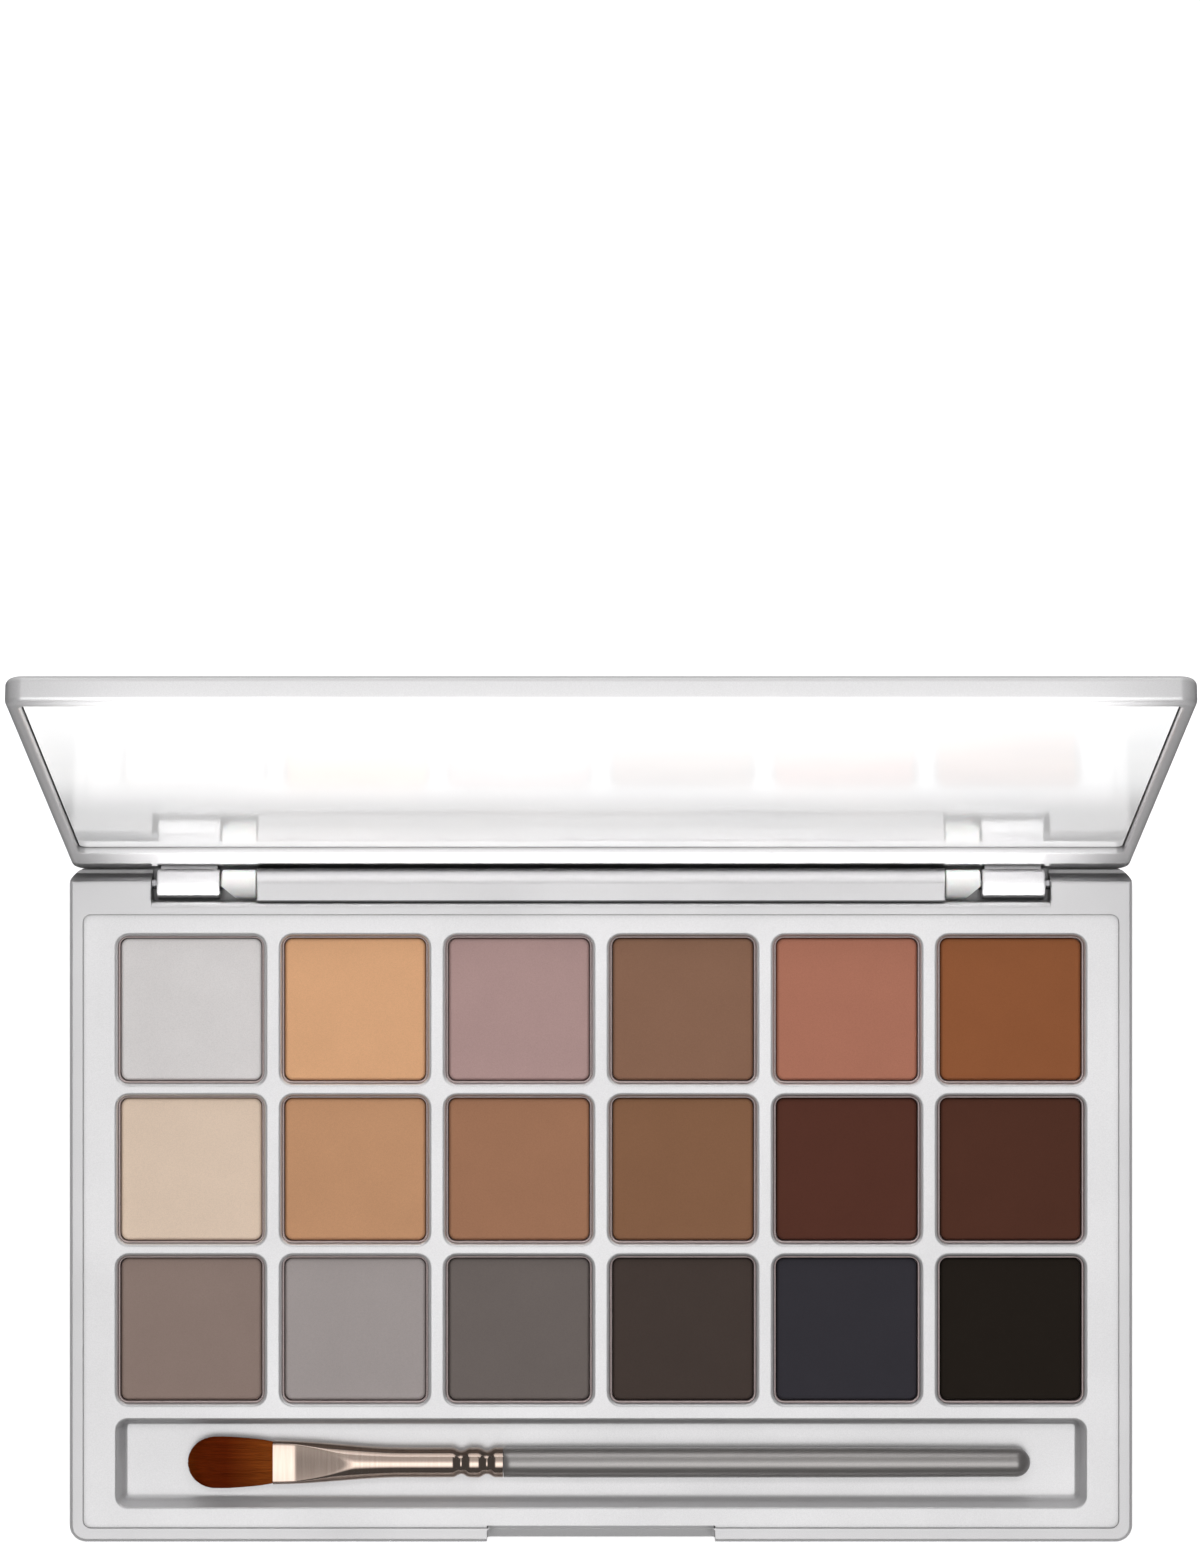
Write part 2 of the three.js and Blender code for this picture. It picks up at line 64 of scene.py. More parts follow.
BUSH_LOW, BUSH_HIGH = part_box("hinge_bush_right")
FERRULE_LOW, FERRULE_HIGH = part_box("brush_ferrule")
HAIR_LOW, HAIR_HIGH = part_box("brush_hair")
HANDLE_LOW, HANDLE_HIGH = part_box("brush_handle")
ROWS = 3
COLUMNS = 6

# ---- Case ----
CORNER_RADIUS = 2.5 * MM
RIM = 1.9 * MM
FLOOR = 1.4 * MM
RIM_ROUND = 1.0 * MM  # outer edge of the base at its foot, and of the lid
TOP_ROUND = 0.55 * MM
SEAM_ROUND = 0.05 * MM  # edges that meet along the insert's seam
WELL_LIP = 0.55 * MM
LIP_ROUND = 0.35 * MM  # edges of wells, trough and cavity
CAVITY_RADIUS = 1.2 * MM
TRAY_GAP = 0.15 * MM
SEAM = 0.006 * MM  # what is seen of that gap round the insert
HINGE_RADIUS = BASE_HIGH.z - AXIS.z
RECESS_HALF = 67.7 * MM
RECESS_Y = AXIS.y - HINGE_RADIUS - 0.05 * MM
RECESS_FLOOR = AXIS.z - HINGE_RADIUS - 0.9 * MM
RECESS_LIP = 0.95 * MM  # rounded front edge of the hinge recess
RAIL_HALF = 51.8 * MM
RAIL_GROOVE = 0.2 * MM
RAIL_GROOVE_DEPTH = 0.35 * MM
STOP_LENGTH = 3 * MM
RELIEF_Z = 4.8 * MM  # the backs of the ears are cut steeply down to here
RELIEF_LEAN = 1.2 * MM
RELIEF_START = 0.45 * MM
PIN_RADIUS = (PIN_HIGH.z - PIN_LOW.z) / 2
PIN_HOLE_RADIUS = 0.85 * MM
BUSH_EDGE = 0.3 * MM
BUSH_SLANT = 1.15  # how far the bush's slanting end runs back for each step aside
BUSH_CUT = 0.2 * MM  # the slant starts this far in front of the axis
SCOOP_HALF = 17.2 * MM
SCOOP_RADIUS = 5.7 * MM
SCOOP_DEPTH = 2.2 * MM
SCOOP_Z = 7.5 * MM
SCOOP_BACKING = 1.6 * MM

# ---- Insert ----
PLATE_Z = TRAY_HIGH.z
PLATE_SKIN = 1.2 * MM
WELL_GAP = 0.2 * MM  # from a pan to its well
WELL_SEAM = 0.04 * MM  # what is seen of that gap
WELL_RADIUS = 1.7 * MM
TROUGH_HALF = 72.9 * MM
TROUGH_WIDTH = 13.1 * MM
TROUGH_Y = BASE_LOW.y + 11.75 * MM
TROUGH_FLOOR = PLATE_Z - 5 * MM
TROUGH_RADIUS = 1.6 * MM
TROUGH_FILLET = 0.9 * MM
TROUGH_DRAFT = 0.45 * MM  # how far its walls lean out, from floor to lip

# ---- Pans and powders ----
PAN_WALL = 0.3 * MM
POWDER_EDGE = 0.45 * MM  # rounding of the pressed cake at its edge
POWDER_GRID = 36
POWDER_SOFT = (160, 0.035 * MM)  # waves to the metre and height of the slow unevenness
POWDER_FINE = (900, 0.012 * MM)
POWDER_SINK = 0.02 * MM

# ---- Lid, measured closed from the hinge axis ----
LID_GAP = 0.3 * MM
LID_THICKNESS = 4 * MM
MATE_Z = HINGE_RADIUS + LID_GAP
LID_FRONT = BASE_LOW.y - AXIS.y
MIRROR_RECESS = 1 * MM
MIRROR_THICKNESS = 1.3 * MM
MIRROR_CLEAR = 0.42  # how metallic the mirror is near the hinge
MIRROR_HAZED = 0.05  # and in its hazed upper part
HAZE_START = 34 * MM  # heights on the open lid between which the haze sets in
HAZE_FULL = 56 * MM
LID_CAVITY = 2.8 * MM
HINGE_FRAME = 8.4 * MM
TAB_HEIGHT = 9 * MM
TAB_CHORD = 23.3 * MM
TAB_RADIUS = (TAB_CHORD**2 / 4 + TAB_HEIGHT**2) / (2 * TAB_HEIGHT)
LID_ROUND = 1.0 * MM
KNUCKLE_RADIUS = 2.3 * MM
KNUCKLE_INNER = 57.4 * MM
KNUCKLE_OUTER = 66.9 * MM
KNUCKLE_ROUND = 0.35 * MM
WEB_FRONT = 0.5 * MM

FAR = 0.3  # longer than the case, for cutters that run out of it
LID_PLACE = Matrix.Translation(AXIS) @ Matrix.Rotation(-OPEN_ANGLE, 4, "X")


# ---------------------------------------------------------------- mesh helpers
def new_object(name, bm):
    """A linked object from a bmesh, with its normals pointing out."""
    bmesh.ops.recalc_face_normals(bm, faces=bm.faces)
    mesh = bpy.data.meshes.new(name)
    bm.to_mesh(mesh)
    bm.free()
    made = bpy.data.objects.new(name, mesh)
    bpy.context.scene.collection.objects.link(made)
    return made


def loft(name, rings, caps=True):
    """Skins a list of closed rings of equal length, and closes both ends."""
    bm = bmesh.new()
    loops = [[bm.verts.new(point) for point in ring] for ring in rings]
    count = len(loops[0])
    for lower, upper in zip(loops, loops[1:]):
        for i in range(count):
            j = (i + 1) % count
            bm.faces.new((lower[i], lower[j], upper[j], upper[i]))
    if caps:
        bm.faces.new(list(reversed(loops[0])))
        bm.faces.new(loops[-1])
    return new_object(name, bm)


def rounded_ring(rectangle, radius, z, corner):
    """Points anticlockwise round a rectangle (x0, x1, y0, y1) with round corners."""
    x0, x1, y0, y1 = rectangle
    corners = (
        (x1 - radius, y0 + radius, -90),
        (x1 - radius, y1 - radius, 0),
        (x0 + radius, y1 - radius, 90),
        (x0 + radius, y0 + radius, 180),
    )
    points = []
    for centre_x, centre_y, start in corners:
        for step in range(corner + 1):
            angle = math.radians(start + 90 * step / corner)
            x = centre_x + radius * math.cos(angle)
            y = centre_y + radius * math.sin(angle)
            points.append(Vector((x, y, z)))
    return points


def slab(name, rectangle, radius, profile, corner=8):
    """A solid whose outline is drawn in by each (inset, height) of its profile."""
    x0, x1, y0, y1 = rectangle
    rings = []
    for inset, z in profile:
        inner = (x0 + inset, x1 - inset, y0 + inset, y1 - inset)
        rings.append(rounded_ring(inner, max(radius - inset, 0.05 * MM), z, corner))
    return loft(name, rings)


def foot_round(radius, z, steps=5):
    """Profile points that round the lower edge of a solid standing on z."""
    angles = [math.pi / 2 * step / steps for step in range(steps + 1)]
    return [(radius * (1 - math.sin(a)), z + radius * (1 - math.cos(a))) for a in angles]


def head_round(radius, z, steps=5):
    """Profile points that round the upper edge of a solid that ends at z."""
    return [(inset, 2 * z - height) for inset, height in reversed(foot_round(radius, z, steps))]


def lip_flare(radius, z, steps=5):
    """Profile points that open a cutter at z, so that the hole's edge comes out round."""
    angles = [math.pi / 2 * step / steps for step in range(steps + 1)]
    return [(-radius * (1 - math.cos(a)), z - radius * (1 - math.sin(a))) for a in angles]


def extrude_x(name, outline, x0, x1):
    """A YZ outline, anticlockwise seen from +X, extruded along X."""
    rings = [[Vector((x, y, z)) for y, z in outline] for x in (x0, x1)]
    return loft(name, rings)


def box(name, x0, x1, y0, y1, z0, z1):
    return extrude_x(name, [(y0, z0), (y1, z0), (y1, z1), (y0, z1)], x0, x1)


def turned(name, profile, centre=(0, 0), sides=32):
    """A body turned about a line along X; profile gives (x, radius) points."""
    rings = []
    for x, radius in profile:
        ring = []
        for side in range(sides):
            angle = 2 * math.pi * side / sides
            y = centre[0] + radius * math.cos(angle)
            z = centre[1] + radius * math.sin(angle)
            ring.append(Vector((x, y, z)))
        rings.append(ring)
    return loft(name, rings)


def arc(centre, radius, start, end, steps):
    """Points of an arc in a plane, from start to end in degrees."""
    points = []
    for step in range(steps + 1):
        angle = math.radians(start + (end - start) * step / steps)
        points.append((centre[0] + radius * math.cos(angle), centre[1] + radius * math.sin(angle)))
    return points


def bake_modifiers(piece):
    """Turns a piece's modifiers into its mesh."""
    graph = bpy.context.evaluated_depsgraph_get()
    mesh = bpy.data.meshes.new_from_object(piece.evaluated_get(graph))
    piece.modifiers.clear()
    piece.data = mesh


def combine(piece, tools, operation):
    """Joins or cuts a piece with each tool, and removes the tools."""
    for tool in tools:
        modifier = piece.modifiers.new("boolean", "BOOLEAN")
        modifier.object = tool
        modifier.operation = operation
        modifier.solver = "EXACT"
        bake_modifiers(piece)
        bpy.data.objects.remove(tool)


def join_meshes(pieces):
    """Puts separate closed pieces in one object."""
    bm = bmesh.new()
    for piece in pieces:
        bm.from_mesh(piece.data)
        bpy.data.objects.remove(piece)
    return new_object("joined", bm)


def both_sides(make):
    """The pieces that make(sign) gives for the right, 1, and the left, -1."""
    return [make(1), make(-1)]


def side_span(sign, inner, outer):
    return (inner, outer) if sign > 0 else (-outer, -inner)


def smooth(piece, angle=38):
    """Smooth shading that keeps flat faces flat and sharp edges sharp."""
    piece.data.shade_smooth()
    piece.data.set_sharp_from_angle(angle=math.radians(angle))
    modifier = piece.modifiers.new("normals", "WEIGHTED_NORMAL")
    modifier.keep_sharp = True


def settle(piece, name, body, material, node=None):
    """Names a finished piece, ties it to its body and its material, and hides the CAD node it stands
    for.
    """
    piece.name = name
    piece.data.name = name
    piece.data.materials.clear()
    piece.data.materials.append(material)
    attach(piece, body)
    if node:
        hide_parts(node)


def mix(a, b, t):
    return a + (b - a) * t


def smoothstep(x, start, end):
    t = min(max((x - start) / (end - start), 0), 1)
    return t * t * (3 - 2 * t)


# ---------------------------------------------------------------- materials
class Nodes:
    """A material's node tree, with short ways to add and join nodes."""

    def __init__(self, name):
        self.material = bpy.data.materials.new(name)
        self.material.use_nodes = True
        self.tree = self.material.node_tree
        self.shader = self.tree.nodes["Principled BSDF"]

    def add(self, kind, settings=None, **inputs):
        node = self.tree.nodes.new(kind)
        for key, value in (settings or {}).items():
            setattr(node, key, value)
        for key, value in inputs.items():
            self.feed(node, key.replace("_", " "), value)
        return node

    def feed(self, node, name, value):
        """Sets a node's input to a number, or joins it to another node's output."""
        socket = node.inputs[name]
        if isinstance(value, bpy.types.NodeSocket):
            self.tree.links.new(value, socket)
        else:
            socket.default_value = value

    def set(self, **inputs):
        for key, value in inputs.items():
            self.feed(self.shader, key.replace("_", " "), value)

    def coordinates(self, scale=(1, 1, 1)):
        place = self.add("ShaderNodeTexCoord")
        mapping = self.add("ShaderNodeMapping", Scale=scale)
        self.tree.links.new(place.outputs["Object"], mapping.inputs["Vector"])
        return mapping.outputs["Vector"]

    def axis(self, name):
        """One coordinate of the piece's own mesh, in metres."""
        place = self.add("ShaderNodeTexCoord")
        axes = self.add("ShaderNodeSeparateXYZ")
        self.tree.links.new(place.outputs["Object"], axes.inputs["Vector"])
        return axes.outputs[name]

    def noise(self, scale, detail=3, stretch=(1, 1, 1), roughness=0.5):
        """A noise of so many waves to the metre."""
        node = self.add(
            "ShaderNodeTexNoise",
            Vector=self.coordinates(stretch),
            Scale=scale,
            Detail=detail,
            Roughness=roughness,
        )
        return node.outputs["Fac"]

    def between(self, factor, low, high):
        """Turns a 0 to 1 factor into a number from low to high."""
        node = self.add("ShaderNodeMapRange", Value=factor, To_Min=low, To_Max=high)
        return node.outputs["Result"]

    def tones(self, factor, stops):
        """Colours laid along a 0 to 1 factor; stops are (place, colour)."""
        node = self.add("ShaderNodeValToRGB", Fac=factor)
        ramp = node.color_ramp
        while len(ramp.elements) < len(stops):
            ramp.elements.new(0.5)
        for element, (place, colour) in zip(ramp.elements, stops):
            element.position = place
            element.color = colour
        return node.outputs["Color"]

    def multiply(self, first, second):
        blend = self.add("ShaderNodeMix", {"data_type": "RGBA", "blend_type": "MULTIPLY"})
        blend.inputs["Factor"].default_value = 1.0
        self.tree.links.new(first, blend.inputs["A"])
        self.tree.links.new(second, blend.inputs["B"])
        return blend.outputs["Result"]

    def painted_crevice_shade(self, reach, darkest):
        """Painted shade: a grey that falls off in corners and gaps narrower than the reach."""
        corner = self.add("ShaderNodeAmbientOcclusion", {"samples": 8}, Distance=reach)
        stops = [(0.35, (darkest, darkest, darkest, 1)), (0.9, (1, 1, 1, 1))]
        return self.tones(corner.outputs["AO"], stops)

    def bump(self, height, depth, strength=1.0, onto=None):
        """Bumps of a depth in metres, laid over those of another bump."""
        node = self.add("ShaderNodeBump", Height=height, Distance=depth, Strength=strength)
        if onto:
            self.tree.links.new(onto, node.inputs["Normal"])
        return node.outputs["Normal"]


def linear(red, green, blue):
    """A colour given in 0 to 255 display values, as the linear values that shaders take."""
    values = []
    for channel in (red, green, blue):
        share = channel / 255
        values.append(share / 12.92 if share <= 0.04045 else ((share + 0.055) / 1.055) ** 2.4)
    return (*values, 1.0)


def shade(colour, factor):
    return (*[min(channel * factor, 1.0) for channel in colour[:3]], 1.0)


def silver_plastic(name, reach, darkest):
    """Moulded plastic with a silver coat: fine flakes under a satin gloss.

    Painted shade: corners and gaps narrower than reach go down to the darkest share of the colour.
    """
    nodes = Nodes(name)
    base = linear(226, 225, 226)
    flakes = nodes.noise(9000, detail=2)
    cloud = nodes.noise(60, detail=2)
    tone = nodes.tones(flakes, [(0.35, shade(base, 0.94)), (0.65, shade(base, 1.03))])
    nodes.set(
        # The base colour carries painted shade in corners and gaps.
        Base_Color=nodes.multiply(tone, nodes.painted_crevice_shade(reach, darkest)),
        Metallic=0.5,
        Roughness=nodes.between(cloud, 0.3, 0.38),
        Coat_Weight=0.2,
        Coat_Roughness=0.15,
        Normal=nodes.bump(flakes, 0.004 * MM, 0.35),
    )
    return nodes.material


def white_acetal():
    nodes = Nodes("white_acetal")
    grain = nodes.noise(3000)
    base = linear(250, 250, 248)
    nodes.set(
        Base_Color=nodes.tones(grain, [(0.3, shade(base, 0.97)), (0.7, base)]),
        Roughness=nodes.between(grain, 0.3, 0.42),
        Subsurface_Weight=0.15,
        Subsurface_Scale=1 * MM,
        Normal=nodes.bump(grain, 0.004 * MM, 0.3),
    )
    return nodes.material


def tinplate():
    """Thin pressed sheet with faint rolling marks, and painted shade in its corners."""
    nodes = Nodes("tinplate")
    rolling = nodes.noise(900, stretch=(1, 14, 1))
    sheet = nodes.tones(rolling, [(0.3, linear(194, 176, 174)), (0.7, linear(210, 196, 194))])
    nodes.set(
        # The sheet colour carries painted shade in corners and gaps.
        Base_Color=nodes.multiply(sheet, nodes.painted_crevice_shade(1.2 * MM, 0.95)),
        Metallic=0.4,
        Roughness=nodes.between(rolling, 0.38, 0.5),
        Normal=nodes.bump(rolling, 0.003 * MM, 0.4),
    )
    return nodes.material


def ground_steel():
    nodes = Nodes("ground_steel")
    lines = nodes.noise(2500, stretch=(1, 0.1, 0.1))
    nodes.set(
        Base_Color=nodes.tones(lines, [(0.3, linear(140, 140, 142)), (0.7, linear(172, 172, 174))]),
        Metallic=1.0,
        Roughness=nodes.between(lines, 0.22, 0.34),
        Normal=nodes.bump(lines, 0.003 * MM, 0.4),
    )
    return nodes.material


def mirror_surface():
    """Silvered sheet, clear near the hinge and hazed towards the top."""
    nodes = Nodes("mirror_surface")
    haze = nodes.noise(45, detail=2)
    clear = nodes.add(
        "ShaderNodeMapRange",
        {"interpolation_type": "SMOOTHSTEP"},
        Value=nodes.axis("Z"),
        From_Min=HAZE_START,
        From_Max=HAZE_FULL,
        To_Min=MIRROR_CLEAR,
        To_Max=MIRROR_HAZED,
    )
    nodes.set(
        Base_Color=nodes.tones(haze, [(0.3, linear(246, 247, 248)), (0.7, linear(252, 252, 252))]),
        Metallic=clear.outputs["Result"],
        Roughness=nodes.between(haze, 0.08, 0.11),
    )
    return nodes.material


def foam_tape():
    nodes = Nodes("foam_tape")
    cells = nodes.add("ShaderNodeTexVoronoi", Vector=nodes.coordinates(), Scale=5000)
    pores = cells.outputs["Distance"]
    nodes.set(
        Base_Color=nodes.tones(pores, [(0.0, linear(205, 205, 200)), (0.6, linear(238, 238, 233))]),
        Roughness=0.92,
        Normal=nodes.bump(pores, 0.05 * MM, 0.6),
    )
    return nodes.material


def pressed_powder(name, colour):
    """Pressed pigment: fine grain, soft press clouds, a soft sheen and painted shade near the pan's
    walls.
    """
    nodes = Nodes(name)
    base = linear(*colour)
    grain = nodes.noise(7000, detail=4, roughness=0.7)
    cloud = nodes.noise(140, detail=3)
    specks = nodes.noise(2200, detail=1)
    tone = nodes.tones(
        grain, [(0.25, shade(base, 0.9)), (0.5, base), (0.75, shade(base, 1.08))]
    )
    press = nodes.tones(cloud, [(0.3, (0.96, 0.96, 0.96, 1)), (0.7, (1, 1, 1, 1))])
    coarse = nodes.bump(specks, 0.02 * MM, 0.25)
    nodes.set(
        # The powder colour carries painted shade near the walls of its pan.
        Base_Color=nodes.multiply(nodes.multiply(tone, press), nodes.painted_crevice_shade(1.2 * MM, 0.75)),
        Roughness=nodes.between(grain, 0.82, 0.98),
        Specular_IOR_Level=0.12,
        Normal=nodes.bump(grain, 0.02 * MM, 0.5, onto=coarse),
    )
    return nodes.material


def hair_fibre():
    """Reddish-brown filaments, darker towards the tip, each with its own tone."""
    nodes = Nodes("hair_fibre")
    strands = nodes.noise(5200, detail=2, stretch=(0.02, 1, 1))
    along = nodes.add(
        "ShaderNodeMapRange",
        Value=nodes.axis("X"),
        From_Min=HAIR_LOW.x,
        From_Max=FERRULE_LOW.x,
    )
    length = nodes.tones(
        along.outputs["Result"],
        [
            (0.0, linear(146, 66, 18)),
            (0.12, linear(124, 46, 8)),
            (0.45, linear(120, 42, 6)),
            (1.0, linear(166, 86, 30)),
        ],
    )
    variety = nodes.tones(strands, [(0.3, (0.66, 0.62, 0.6, 1)), (0.7, (1, 1, 1, 1))])
    nodes.set(
        Base_Color=nodes.multiply(length, variety),
        Roughness=nodes.between(strands, 0.42, 0.6),
        Specular_IOR_Level=0.06,
        Normal=nodes.bump(strands, 0.03 * MM, 0.5),
    )
    return nodes.material


def champagne_metal():
    """Polished ferrule with fine turning lines."""
    nodes = Nodes("champagne_metal")
    lines = nodes.noise(2600, stretch=(1, 0.05, 0.05))
    nodes.set(
        Base_Color=nodes.tones(lines, [(0.3, linear(190, 170, 158)), (0.7, linear(198, 180, 168))]),
        Metallic=1.0,
        Roughness=nodes.between(lines, 0.1, 0.14),
        Normal=nodes.bump(lines, 0.0003 * MM, 0.05),
    )
    return nodes.material


def silver_lacquer():
    """Grey metallic lacquer: flakes under a clear coat."""
    nodes = Nodes("silver_lacquer")
    flakes = nodes.noise(16000, detail=1)
    nodes.set(
        Base_Color=nodes.tones(flakes, [(0.3, linear(156, 152, 151)), (0.7, linear(178, 174, 172))]),
        Metallic=0.75,
        Roughness=nodes.between(flakes, 0.3, 0.4),
        Coat_Weight=0.6,
        Coat_Roughness=0.08,
        Normal=nodes.bump(flakes, 0.003 * MM, 0.3),
    )
    return nodes.material


# ---------------------------------------------------------------- case base
def rear_cutter():
    """Everything behind the base's rounded hinge edge, above the foot under the lid's stop."""
    lean = OPEN_ANGLE - math.pi / 2
    tangent = (AXIS.y + HINGE_RADIUS * math.cos(lean), AXIS.z - HINGE_RADIUS * math.sin(lean))
    stop_y = tangent[0] - STOP_LENGTH * math.sin(lean)
    stop_z = tangent[1] - STOP_LENGTH * math.cos(lean)
    crown = arc((AXIS.y, AXIS.z), HINGE_RADIUS, -math.degrees(lean), 90, 14)
    outline = [(FAR, stop_z), (stop_y, stop_z), *crown, (AXIS.y, FAR / 10), (FAR, FAR / 10)]
    return extrude_x("rear", outline, -FAR, FAR)


def ear_relief(sign):
    """A steep cut down the back of an ear, which leaves room for the open lid."""
    top = AXIS.y + RELIEF_START
    outline = [
        (top, BASE_HIGH.z + 1 * MM),
        (top, BASE_HIGH.z),
        (top + RELIEF_LEAN, RELIEF_Z),
        (FAR, RELIEF_Z),
        (FAR, BASE_HIGH.z + 1 * MM),
    ]
    return extrude_x("relief", outline, *side_span(sign, RECESS_HALF, FAR))


def recess_lip():
    """Rounds the front edge of the hinge recess along its whole length."""
    top = BASE_HIGH.z
    centre = (RECESS_Y - RECESS_LIP, top - RECESS_LIP)
    outline = arc(centre, RECESS_LIP, 90, 0, 8)
    outline += [(RECESS_Y + RAIL_GROOVE, top - RECESS_LIP), (RECESS_Y + RAIL_GROOVE, top + 1 * MM)]
    outline += [(RECESS_Y - RECESS_LIP, top + 1 * MM)]
    return extrude_x("lip", outline, -RECESS_HALF, RECESS_HALF)


def hinge_pocket(sign):
    x0, x1 = side_span(sign, RAIL_HALF, RECESS_HALF)
    profile = [(0, RECESS_FLOOR), *lip_flare(0.25 * MM, BASE_HIGH.z), (-0.25 * MM, FAR / 10)]
    return slab("pocket", (x0, x1, RECESS_Y, FAR), 0.3 * MM, profile, corner=4)


def rail_groove():
    half = RAIL_HALF + 1 * MM
    low = BASE_HIGH.z - RAIL_GROOVE_DEPTH
    return box("groove", -half, half, RECESS_Y, RECESS_Y + RAIL_GROOVE, low, FAR / 10)


def pin_hole(sign):
    x0, x1 = side_span(sign, PIN_LOW.x, FAR)
    return turned("hole", [(x0, PIN_HOLE_RADIUS), (x1, PIN_HOLE_RADIUS)], (AXIS.y, AXIS.z))


def scoop():
    """The thumb scoop: a trough across the front wall, with softly rounded ends."""
    centre = (BASE_LOW.y + SCOOP_DEPTH - SCOOP_RADIUS, SCOOP_Z)
    ends = foot_round(0.5 * MM, 0)
    profile = [(-SCOOP_HALF + along, SCOOP_RADIUS - inset) for inset, along in ends]
    profile += [(SCOOP_HALF - along, SCOOP_RADIUS - inset) for inset, along in reversed(ends)]
    return turned("scoop", profile, centre, sides=160)


def base_shell(material):
    outline = (BASE_LOW.x, BASE_HIGH.x, BASE_LOW.y, -BASE_LOW.y)
    profile = foot_round(RIM_ROUND, 0) + head_round(TOP_ROUND, BASE_HIGH.z)
    shell = slab("base_shell", outline, CORNER_RADIUS, profile, corner=10)
    cavity_outline = (
        TRAY_LOW.x - SEAM,
        TRAY_HIGH.x + SEAM,
        TRAY_LOW.y - SEAM,
        TRAY_HIGH.y + SEAM,
    )
    cavity_profile = [(0, FLOOR), *lip_flare(SEAM_ROUND, BASE_HIGH.z), (-SEAM_ROUND, FAR / 10)]
    cavity = slab("cavity", cavity_outline, CAVITY_RADIUS, cavity_profile)
    combine(shell, [rear_cutter(), cavity], "DIFFERENCE")
    backing = box(
        "backing",
        -SCOOP_HALF - RIM,
        SCOOP_HALF + RIM,
        BASE_LOW.y + RIM / 2,
        BASE_LOW.y + RIM + SCOOP_BACKING,
        FLOOR / 2,
        PLATE_Z - PLATE_SKIN - TRAY_GAP,
    )
    combine(shell, [backing], "UNION")
    cutters = [scoop(), recess_lip(), rail_groove()]
    cutters += both_sides(hinge_pocket) + both_sides(ear_relief) + both_sides(pin_hole)
    combine(shell, cutters, "DIFFERENCE")
    smooth(shell)
    settle(shell, "base_shell_fine", "base", material, "base_shell")


# ---------------------------------------------------------------- insert
def each_well():
    """The label of every pan, row by row from the hinge."""
    for row in range(ROWS):
        for column in range(COLUMNS):
            yield row, column, f"{row + 1}_{column + 1}"


def well_cutter(label):
    low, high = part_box(f"pan_{label}")
    outline = (low.x - WELL_SEAM, high.x + WELL_SEAM, low.y - WELL_SEAM, high.y + WELL_SEAM)
    floor = low.z - 0.1 * MM
    profile = [(0, floor), *lip_flare(WELL_LIP, PLATE_Z), (-WELL_LIP, PLATE_Z + 1 * MM)]
    return slab("well", outline, WELL_RADIUS, profile)


def trough_cutter():
    outline = (
        -TROUGH_HALF,
        TROUGH_HALF,
        TROUGH_Y - TROUGH_WIDTH / 2,
        TROUGH_Y + TROUGH_WIDTH / 2,
    )
    floor = [(TROUGH_DRAFT + inset, z) for inset, z in foot_round(TROUGH_FILLET, TROUGH_FLOOR, 7)]
    profile = [*floor, *lip_flare(LIP_ROUND, PLATE_Z), (-LIP_ROUND, PLATE_Z + 1 * MM)]
    return slab("trough", outline, TROUGH_RADIUS, profile)


def insert_tray(material):
    outline = (TRAY_LOW.x, TRAY_HIGH.x, TRAY_LOW.y, TRAY_HIGH.y)
    profile = [(0, TRAY_LOW.z), *head_round(SEAM_ROUND, PLATE_Z, 4)]
    tray = slab("insert_tray", outline, CAVITY_RADIUS - TRAY_GAP, profile)
    holes = join_meshes([well_cutter(label) for _, _, label in each_well()] + [trough_cutter()])
    half = SCOOP_HALF + RIM + TRAY_GAP
    back = BASE_LOW.y + RIM + SCOOP_BACKING + TRAY_GAP
    room = box("room", -half, half, -FAR, back, -FAR, PLATE_Z - PLATE_SKIN)
    edge = box("edge", -SCOOP_HALF, SCOOP_HALF, -FAR, TRAY_LOW.y + 0.35 * MM, -FAR, FAR)
    combine(tray, [holes, room, edge], "DIFFERENCE")
    smooth(tray)
    settle(tray, "insert_tray_fine", "base", material, "insert_tray")


# ---------------------------------------------------------------- pans and powders
def pan(label, material):
    """A pressed cup with a rounded lip and a rounded foot."""
    low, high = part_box(f"pan_{label}")
    outline = (low.x, high.x, low.y, high.y)
    radius = WELL_RADIUS - WELL_GAP
    lip = PAN_WALL / 2
    outer = foot_round(0.4 * MM, low.z, 4) + head_round(lip, high.z, 3)
    inner = [(PAN_WALL - inset, z) for inset, z in reversed(head_round(lip, high.z, 3))]
    profile = outer + inner[1:] + [(PAN_WALL, low.z + PAN_WALL)]
    cup = slab("pan", outline, radius, profile)
    smooth(cup)
    settle(cup, f"pan_{label}_fine", "base", material, f"pan_{label}")


